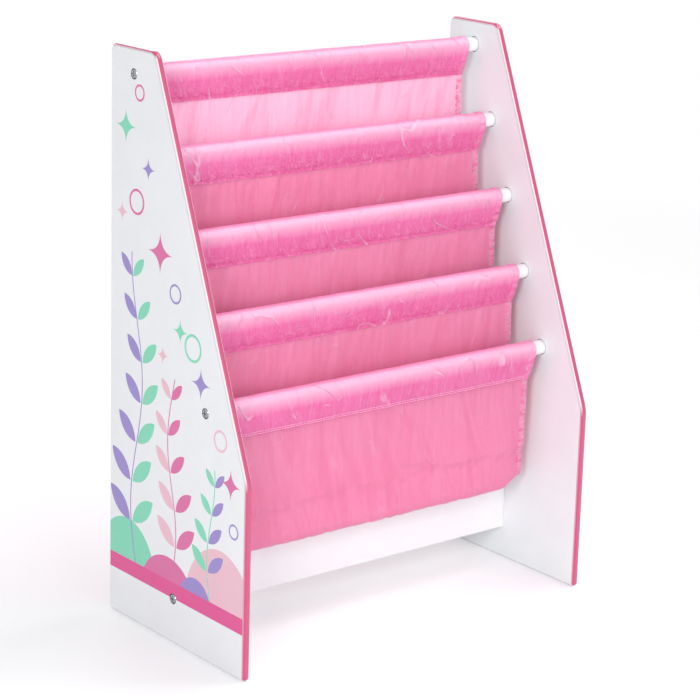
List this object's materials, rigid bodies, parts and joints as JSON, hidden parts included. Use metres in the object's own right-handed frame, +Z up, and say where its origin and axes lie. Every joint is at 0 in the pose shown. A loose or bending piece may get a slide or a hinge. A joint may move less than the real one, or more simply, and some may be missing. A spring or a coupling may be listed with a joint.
{
  "type": "sling bookshelf",
  "caption": "Low sling bookshelf for children: two shaped side panels joined by round rods and a cross board, with a sewn cloth sling hung over the rods as stepped pockets for picture books.",
  "frame": {"origin": "on the floor, under the middle of the shelf's overall width and depth", "axes": "+Z up, +X to the shelf's right-hand end as it is looked at from the front, +Y to the back, so the front with the lowest pocket faces -Y"},
  "size_m": [0.457, 0.24, 0.6],
  "materials": {
    "panel_board": "fibreboard, satin white paint on the faces, pink on the panels' edges",
    "rod_tube": "gloss white powder coat",
    "sling_cloth": "thin pink polyester with a soft sheen, hemmed and sewn",
    "hardware": "bright zinc plate",
    "dowel_wood": "bare beech"
  },
  "bodies": {
    "root": {"side_panel_left": "panel_board", "side_panel_right": "panel_board", "cross_board": "panel_board", "rod_1": "rod_tube", "rod_2": "rod_tube", "rod_3": "rod_tube", "rod_4": "rod_tube", "rod_5": "rod_tube", "rod_1_insert_left": "hardware", "rod_1_insert_right": "hardware", "rod_5_insert_left": "hardware", "rod_5_insert_right": "hardware", "rod_1_screw_left": "hardware", "rod_1_screw_right": "hardware", "rod_5_screw_left": "hardware", "rod_5_screw_right": "hardware", "board_screw_left": "hardware", "board_screw_right": "hardware", "barrel_nut_left": "hardware", "barrel_nut_right": "hardware", "board_dowel_left": "dowel_wood", "board_dowel_right": "dowel_wood", "rod_sleeve_1": "sling_cloth", "rod_sleeve_2": "sling_cloth", "rod_sleeve_3": "sling_cloth", "rod_sleeve_4": "sling_cloth", "rod_sleeve_5": "sling_cloth", "pocket_sling_1": "sling_cloth", "pocket_sling_2": "sling_cloth", "pocket_sling_3": "sling_cloth", "pocket_sling_4": "sling_cloth"}
  },
  "joints": []
}
